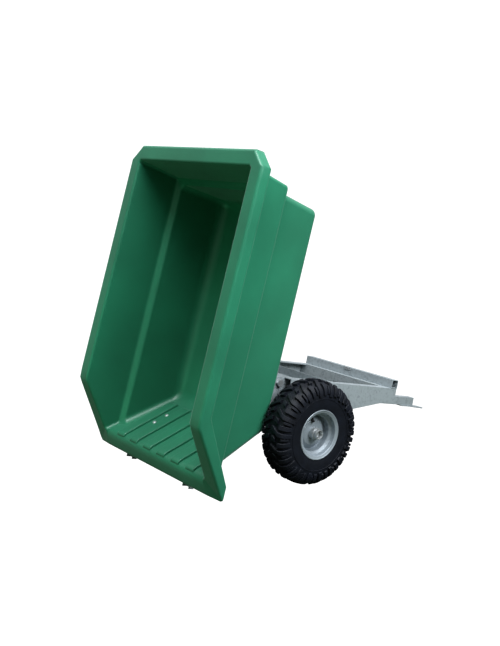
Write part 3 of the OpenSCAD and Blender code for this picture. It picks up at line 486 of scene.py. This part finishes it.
def wall_columns():
    """Columns all round the tub, from the left side forward and back along the right side."""
    side_shares = [0, 0.012, 0.04, 0.08, 0.12, 0.16, 0.19, 0.21, 0.23, 0.26, 0.32, 0.42, 0.55, 0.7, 0.85,
                   0.96, 1]
    corner_shares = [k / 8 for k in range(1, 8)]
    spread = [k / 4 for k in range(-4, 5)]
    columns = [WallColumn("side", s, 1) for s in side_shares]
    columns += [WallColumn("front corner", s, 1) for s in corner_shares]
    columns += [WallColumn("front", -s) for s in spread]
    columns += [WallColumn("front corner", 1 - s, -1) for s in corner_shares]
    columns += [WallColumn("side", s, -1) for s in reversed(side_shares)]
    columns += [WallColumn("rear corner", s, -1) for s in corner_shares]
    columns += [WallColumn("chute", s) for s in spread]
    columns += [WallColumn("rear corner", 1 - s, 1) for s in corner_shares]
    return columns


def lip_corner(share, half):
    """Place on the rim outline at a rear corner."""
    for (s0, a0, c0), (s1, a1, c1) in zip(LIP_CORNER, LIP_CORNER[1:]):
        if share <= s1:
            part = (share - s0) / (s1 - s0)
            return a0 + (a1 - a0) * part, half - c0 - (c1 - c0) * part


def rim_outer(column, top, sizes):
    """Outer edges of the rim for a column: the low one and the high one."""
    end, half, cut = sizes.rim_end, sizes.rim_half, sizes.chamfer
    raised = 0.0
    if column.kind == "front":
        along, across = end, column.share * (half - cut)
    elif column.kind == "front corner":
        along, across = end - cut + cut * column.share, column.side * (half - cut * column.share)
    elif column.kind == "side":
        front = OPENING_END - UPPER_CORNER
        if top.x > RIM_BEND:
            along = RIM_BEND + (top.x - RIM_BEND) * (end - cut - RIM_BEND) / (front - RIM_BEND)
        else:
            along = LIP_FACE + (top.x - SIDE_START) * (RIM_BEND - LIP_FACE) / (RIM_BEND - SIDE_START)
        across = column.side * half
    elif column.kind == "chute":
        along, across, raised = -LIP_REACH, top.y, LIP_LIFT
    else:
        along, across = lip_corner(column.share, half)
        across *= column.side
        raised = LIP_LIFT * max(0.0, 2 * column.share - 1)
    low, high = rim_under(along, sizes), rim_top(along, sizes.depth) + raised
    return Vector((along, across, low)), Vector((along, across, high))


def tub_profile(column, sizes):
    """Path over the wall: outer floor, outer wall, rim, inner wall and inner floor."""
    wall = sizes.wall
    height = inner_height = under_height = sizes.depth
    for _ in range(SETTLING_PASSES):
        height = rim_top(column.at(height).x, sizes.depth)
        inner_height = rim_top(column.at(inner_height, wall).x, sizes.depth)
        under_height = rim_under(column.at(under_height).x, sizes)
    low_edge, high_edge = rim_outer(column, column.at(height), sizes)
    # Each bend of the path with the reach of its rounding
    bends = [
        (column.at(0), 18),
        (column.at(LEDGE_LOW), 9),
        (column.at(LEDGE_TOP), 8),
        (column.at(under_height), 8),
        (low_edge, 8),
        (high_edge, 15),
        (column.at(inner_height, wall), CHUTE_EDGE if column.kind == "chute" else INNER_EDGE),
        (column.at(LEDGE_TOP + LEDGE_LIFT, wall, LEDGE_LIFT), 9),
        (column.at(LEDGE_LOW + LEDGE_LIFT, wall, LEDGE_LIFT), 9),
        (column.at(wall, wall), 54)]
    points, reaches = zip(*bends)
    ends = column.inset(0, 0, OUTER_INSET), column.inset(wall, wall, INNER_INSET)
    return rounded_path([ends[0], *points, ends[1]], reaches)


def tub_mesh(sizes, material):
    """The whole tub as one closed skin."""
    columns = [tub_profile(column, sizes) for column in wall_columns()]
    rows = len(columns[0])
    verts = [tub_to_cart(point) for column in columns for point in column]
    faces = quads(len(columns), rows, True, False)
    faces.append([c * rows for c in range(len(columns))])
    faces.append([c * rows + rows - 1 for c in range(len(columns))])
    return smooth_mesh("tub", verts, faces, material)


def chute_fall(along):
    """How far the rounding of the chute's end has fallen away from the chute's plane."""
    past = max(0.0, along - (CHUTE_END - CHUTE_EDGE))
    return CHUTE_EDGE - math.sqrt(CHUTE_EDGE ** 2 - past ** 2)


def plank_mesh(middle, width, rise, wall, material):
    """A raised plank of the chute with rounded edges and ends, which dips over the chute's end."""
    sunk, thin, edge, draft = 3.0, 0.4, 4.0, 2.0
    # Share of the chute's fall that the top of the plank follows
    dip = 0.6
    start, end = PLANK_START, CHUTE_END - PLANK_GAP
    # Places up the chute, with the drop of the top there; the last drop closes the end
    stations = [
        (start, rise + sunk), (start + 1, 6), (start + 4, 2.4), (start + 9, 0.6), (start + 16, 0),
        (180, 0), (280, 0), (end - 26, 0), (end - 19, 0), (end - 12, 0),
        (end - 6, 0.6), (end - 2.5, 2.2), (end - 0.6, 5), (end, 60)]
    verts = []
    for along, drop in stations:
        foot = -sunk - chute_fall(along)
        top = max(rise - drop - dip * chute_fall(along), foot + thin)
        section = [Vector((-width / 2 - draft, 0, foot)), Vector((-width / 2, 0, top)),
                   Vector((width / 2, 0, top)), Vector((width / 2 + draft, 0, foot))]
        for point in rounded_path(section, [edge, edge]):
            verts.append(tub_to_cart(chute_point(along, wall + point.z, middle + point.x)))
    return smooth_mesh("plank", verts, tube_faces(len(stations), len(verts) // len(stations)), material)


def repeat_tree(name):
    """Geometry Nodes that repeat a piece along a row and round an axle, both by named inputs."""
    tree = bpy.data.node_groups.new(name, "GeometryNodeTree")
    sockets = tree.interface
    sockets.new_socket("Geometry", in_out="INPUT", socket_type="NodeSocketGeometry")
    for label, kind, default in (("Count", "NodeSocketInt", 1), ("Step", "NodeSocketVector", (0, 0, 0)),
                                 ("Turn", "NodeSocketVector", (0, 0, 0)),
                                 ("Material", "NodeSocketMaterial", None)):
        made = sockets.new_socket(label, in_out="INPUT", socket_type=kind)
        if default is not None:
            made.default_value = default
    sockets.new_socket("Geometry", in_out="OUTPUT", socket_type="NodeSocketGeometry")
    given = node(tree, "NodeGroupInput").outputs
    row = node(tree, "GeometryNodeMeshLine", {"Count": given["Count"], "Offset": given["Step"]})
    index = node(tree, "GeometryNodeInputIndex")
    turn = node(tree, "ShaderNodeVectorMath", {0: given["Turn"]}, operation="SCALE")
    tree.links.new(index.outputs["Index"], turn.inputs["Scale"])
    copies = node(tree, "GeometryNodeInstanceOnPoints", {
        "Points": row.outputs["Mesh"], "Instance": given["Geometry"], "Rotation": turn.outputs["Vector"]})
    solid = node(tree, "GeometryNodeRealizeInstances", {"Geometry": copies.outputs["Instances"]})
    dressed = node(tree, "GeometryNodeSetMaterial", {
        "Geometry": solid.outputs["Geometry"], "Material": given["Material"]})
    node(tree, "NodeGroupOutput", {"Geometry": dressed.outputs["Geometry"]})
    return tree


def repeated(mesh, material, count, step=(0, 0, 0), turn=(0, 0, 0)):
    """A mesh repeated along a row or round an axle, as one plain mesh."""
    tree = bpy.data.node_groups.get("repeat_piece") or repeat_tree("repeat_piece")
    holder = bpy.data.objects.new("repeat_holder", mesh)
    bpy.context.scene.collection.objects.link(holder)
    modifier = holder.modifiers.new("repeat", "NODES")
    modifier.node_group = tree
    values = {"Count": count, "Step": step, "Turn": turn, "Material": material}
    for socket in tree.interface.items_tree:
        if socket.in_out == "INPUT" and socket.name in values:
            modifier[socket.identifier] = values[socket.name]
    evaluated = holder.evaluated_get(bpy.context.evaluated_depsgraph_get())
    made = bpy.data.meshes.new_from_object(evaluated)
    holder.modifiers.remove(modifier)
    bpy.data.objects.remove(holder)
    return made


def carcass_at(travel):
    """Place and outward direction on the carcass, a distance round its section from the crown."""
    left = travel
    for (y0, r0), (y1, r1) in zip(CARCASS, CARCASS[1:]):
        step = math.hypot(y1 - y0, r1 - r0)
        if left <= step or (y1, r1) == CARCASS[-1]:
            share = left / step
            return (Vector((y0 + (y1 - y0) * share, r0 + (r1 - r0) * share)),
                    Vector((-(r1 - r0), y1 - y0)) / step)
        left -= step


def lathed(name, section, steps, material):
    """A closed section of (across, radius) turned about the axle."""
    verts = []
    for k in range(steps):
        turn = 2 * math.pi * k / steps
        verts += [(r * math.sin(turn), y, r * math.cos(turn)) for y, r in section]
    return smooth_mesh(name, verts, quads(steps, len(section), True, True), material)


def lug_mesh(stations, material):
    """One tread lug through its stations, with chamfered edges and a foot sunk in the carcass."""
    verts, sunk, flare, chamfer = [], 2.5, 1, 1.6
    for travel, along, half, height in stations:
        place, out = carcass_at(travel)
        outline = [(-half - flare, -sunk), (-half, height - chamfer), (-half + chamfer, height),
                   (half - chamfer, height), (half, height - chamfer), (half + flare, -sunk)]
        for across, lift in outline:
            spot = place + out * lift
            turn = (along + across) / TREAD_RADIUS
            verts.append((spot.y * math.sin(turn), spot.x, spot.y * math.cos(turn)))
    return smooth_mesh("lug", verts, tube_faces(len(stations), len(verts) // len(stations)), material)


def mirrored(mesh, turn):
    """The same mesh on the other half of the tread, turned on round the axle."""
    other = mesh.copy()
    other.transform(Matrix.Rotation(turn, 4, "Y") @ Matrix.Scale(-1, 4, (0, 1, 0)))
    other.flip_normals()
    return other


def tyre_mesh(sizes, material):
    """Carcass, both rows of lugs and the sidewall rings, about the wheel's centre."""
    half = CARCASS + BEAD + LINING
    section = half + [(-y, r) for y, r in reversed(half[1:-1])]
    meshes = [lathed("carcass", section, TYRE_STEPS, material)]
    turn = 2 * math.pi / sizes.lugs
    for stations in LUGS:
        near = repeated(lug_mesh(stations, material), material, sizes.lugs, turn=(0, turn, 0))
        meshes += [near, mirrored(near, turn / 2)]
    for side in (1, -1):
        ring = [(side * y, r) for y, r in SIDEWALL_RING]
        meshes.append(lathed("sidewall_ring", ring, TYRE_STEPS, material))
    return joined("tyre", meshes, material)


def rim_mesh(sizes, material):
    """Pressed rim with rolled flanges, drop centre and a dished disc, with its outer side at plus y."""
    half, flange = sizes.rim_half, sizes.flange
    # Thickness of the sheet, and how far its outer skin stays below the flange
    sheet, below = 4.0, 0.6
    outer = [
        (half - 2.5, flange), (half - 0.2, flange - 1.4), (half, flange - 4), (half - 1.6, flange - 6.5),
        (half - 3.6, flange - 10), (half - 4.4, 101), (half - 7, 98.4), (half - 24, 97.4),
        (half - 28, 95), (half - 33, 85.5), (half - 37, 83.4), (0, 83.4)]
    skin = outer + [(-y, r) for y, r in reversed(outer[:-1])]
    under = []
    for y, r in reversed(skin):
        under.append((max(-half + sheet, min(half - sheet, y)), min(r + sheet, flange - below)))
    hoop = lathed("rim_hoop", skin + under, RIM_STEPS, material)
    disc = lathed("rim_disc", RIM_DISC, RIM_STEPS, material)
    return joined("rim", [hoop, disc], material)


def studio_floor(scene):
    """A floor that the camera sees as white, and that lights the cart as dull ground does."""
    material, tree = new_material("white_cut_out_floor")
    light_path = node(tree, "ShaderNodeLightPath")
    # Inputs 6 and 7 and output 2 of this node are its two colours and the one that it picks
    # The ground is dull green-grey, and darker where a gloss mirrors it
    tone = node(tree, "ShaderNodeMix", {
        "Factor": light_path.outputs["Is Glossy Ray"], 6: linear("#5c6657"), 7: linear("#343833")},
        data_type="RGBA")
    dull = node(tree, "ShaderNodeBsdfDiffuse", {"Color": tone.outputs[2]})
    white = node(tree, "ShaderNodeEmission", {"Color": linear("#ffffff")})
    shown = node(tree, "ShaderNodeMixShader", {
        "Fac": light_path.outputs["Is Camera Ray"], 1: dull.outputs["BSDF"], 2: white.outputs["Emission"]})
    node(tree, "ShaderNodeOutputMaterial", {"Surface": shown.outputs["Shader"]})
    signs = ((-1, -1), (1, -1), (1, 1), (-1, 1))
    corners = [(x * FLOOR_REACH, y * FLOOR_REACH, -FLOOR_DROP) for x, y in signs]
    mesh = smooth_mesh("studio_floor", corners, [[0, 1, 2, 3]], material)
    floor = bpy.data.objects.new("studio_floor", mesh)
    scene.collection.objects.link(floor)


def studio_sky(scene):
    """A sky that brightens overhead, and that the camera sees as white."""
    world = bpy.data.worlds.new("studio_sky")
    world.use_nodes = True
    tree = world.node_tree
    tree.nodes.clear()
    place = node(tree, "ShaderNodeTexCoord").outputs["Generated"]
    way = node(tree, "ShaderNodeSeparateXYZ", {"Vector": place})
    steep = node(tree, "ShaderNodeMath", {0: way.outputs["Z"], 1: SKY_RISE}, operation="POWER")
    height = node(tree, "ShaderNodeMapRange", {
        "Value": steep.outputs["Value"], "From Min": 0.0, "From Max": 1.0,
        "To Min": SKY_LOW, "To Max": SKY_HIGH})
    light_path = node(tree, "ShaderNodeLightPath")
    # Inputs 2 and 3 and output 0 of this node are its two numbers and the one that it picks
    seen = node(tree, "ShaderNodeMix", {
        "Factor": light_path.outputs["Is Camera Ray"], 2: height.outputs["Result"], 3: 1.0})
    sky = node(tree, "ShaderNodeBackground", {"Color": linear("#ffffff"), "Strength": seen.outputs[0]})
    node(tree, "ShaderNodeOutputWorld", {"Surface": sky.outputs["Background"]})
    scene.world = world


def studio_lamps(scene):
    """Soft lamps that the camera doesn't see."""
    for name, spot, aim, power, width, colour, shines in LAMPS:
        lamp = bpy.data.lights.new(name, "AREA")
        lamp.energy, lamp.size = power, width
        lamp.color = colour
        light = bpy.data.objects.new(name, lamp)
        light.visible_camera = False
        light.visible_glossy = shines
        light.location = spot
        light.rotation_euler = (Vector(aim) - Vector(spot)).to_track_quat("-Z", "Y").to_euler()
        scene.collection.objects.link(light)


def photo_camera(scene):
    """The camera at the photograph's place and angle."""
    lens = bpy.data.cameras.new("photo_camera")
    lens.sensor_width, lens.lens = SENSOR_WIDTH, LENS
    lens.shift_x, lens.shift_y = FRAME_SHIFT
    camera = bpy.data.objects.new("photo_camera", lens)
    camera.location = CAMERA_PLACE
    camera.rotation_euler = [math.radians(turn) for turn in CAMERA_TURN]
    scene.collection.objects.link(camera)
    scene.camera = camera


class PIECE_OT_moulded_tub(bpy.types.Operator):
    """Makes the tub and the planks of its chute"""
    bl_idname = "dump_cart.moulded_tub"
    bl_label = "Moulded Tub"

    def execute(self, context):
        sizes = context.scene.dump_cart_tub
        material = moulded_polyethylene(sizes.colour)
        tub = piece_of("tub", tub_mesh(sizes, material), "tub", ["tub_shell"])
        crisp(tub, TUB_CREASE)
        first = -(sizes.planks - 1) / 2 * sizes.plank_pitch
        one = plank_mesh(first, sizes.plank_width, sizes.plank_rise, sizes.wall, material)
        row = repeated(one, material, sizes.planks, step=(0, sizes.plank_pitch / 1000, 0))
        planks = piece_of("chute_planks", joined("chute_planks", [row], material), "tub")
        crisp(planks, TUB_CREASE)
        return {"FINISHED"}


class PIECE_OT_wheels(bpy.types.Operator):
    """Makes both tyres and both rims"""
    bl_idname = "dump_cart.wheels"
    bl_label = "Wheels"

    def execute(self, context):
        sizes = context.scene.dump_cart_wheel
        rubber = moulded_rubber("tyre_rubber", sizes.tyre_colour, rough=0.62)
        silver = silver_powder_coat(sizes.rim_colour)
        tyre, rim = tyre_mesh(sizes, rubber), rim_mesh(sizes, silver)
        for side, out in (("left", 1), ("right", -1)):
            centre = JOINT_PLACE[f"wheel_{side}_spin"]
            for name, mesh, slot in (("tyre", tyre, "tyre"), ("rim", rim, "rim_silver")):
                own = mesh.copy()
                if out < 0:
                    own.transform(Matrix.Rotation(math.pi, 4, "Z"))
                own.transform(Matrix.Translation(centre))
                piece = piece_of(f"{name}_{side}_dressed", own, f"wheel_{side}", [f"{name}_{side}"])
                crisp(piece, WHEEL_CREASE)
        return {"FINISHED"}


class PIECE_OT_steelwork(bpy.types.Operator):
    """Gives the steel and rubber pieces of the frame their finish and soft edges"""
    bl_idname = "dump_cart.steelwork"
    bl_label = "Steelwork"

    def execute(self, context):
        sizes = context.scene.dump_cart_steel
        finishes = {
            "galvanised": galvanised_steel(sizes.colour),
            "bright_zinc": plated_steel("bright_zinc_plate", "#d4d8da", smooth=0.28, rough=0.42),
            "dark_steel": plated_steel("oiled_steel", "#6b6f73", smooth=0.32, rough=0.5),
            "rubber": moulded_rubber("plain_rubber", "#1b1b1d", rough=0.55),
        }
        for part in frame["record"]["subparts"]:
            piece = frame["nodes"][part["node"]]
            finish = finishes.get(part["material_slot"])
            if finish is None:
                continue
            piece.data.materials.clear()
            piece.data.materials.append(finish)
            weld = piece.modifiers.new("weld", "WELD")
            weld.merge_threshold = FRAME_POINT
            edge = piece.modifiers.new("edge", "BEVEL")
            edge.width = sizes.edge
            edge.segments = 2
            edge.limit_method = "ANGLE"
            edge.angle_limit = math.radians(STEEL_CREASE)
        return {"FINISHED"}


class STAGE_OT_studio(bpy.types.Operator):
    """Makes the pale floor, the soft light and the camera"""
    bl_idname = "dump_cart.studio"
    bl_label = "Studio"

    def execute(self, context):
        scene = context.scene
        scene.view_settings.view_transform = "Standard"
        scene.view_settings.look = "Medium High Contrast"
        studio_floor(scene)
        studio_sky(scene)
        studio_lamps(scene)
        photo_camera(scene)
        return {"FINISHED"}


class VIEW3D_PT_dump_cart(bpy.types.Panel):
    """Lists the sizes of the cart and the steps that make it"""
    bl_label = "Dump Cart"
    bl_space_type = "VIEW_3D"
    bl_region_type = "UI"
    bl_category = "Dump Cart"

    def draw(self, context):
        for group in GROUPS:
            values = getattr(context.scene, group)
            box = self.layout.box()
            for name in values.__annotations__:
                box.prop(values, name)
        for operator in OPERATORS:
            self.layout.operator(operator.bl_idname)


GROUPS = {"dump_cart_tub": TubSizes, "dump_cart_wheel": WheelSizes, "dump_cart_steel": SteelSizes}
OPERATORS = (PIECE_OT_moulded_tub, PIECE_OT_wheels, PIECE_OT_steelwork, STAGE_OT_studio)
CLASSES = (*GROUPS.values(), *OPERATORS, VIEW3D_PT_dump_cart)


def register():
    for kind in CLASSES:
        bpy.utils.register_class(kind)
    for name, kind in GROUPS.items():
        setattr(bpy.types.Scene, name, PointerProperty(type=kind))


def unregister():
    for name in GROUPS:
        delattr(bpy.types.Scene, name)
    for kind in reversed(CLASSES):
        bpy.utils.unregister_class(kind)


def main():
    """Makes the dressed cart and its stage."""
    register()
    bpy.ops.dump_cart.moulded_tub()
    bpy.ops.dump_cart.wheels()
    bpy.ops.dump_cart.steelwork()
    bpy.ops.dump_cart.studio()


if __name__ == "__main__":
    main()
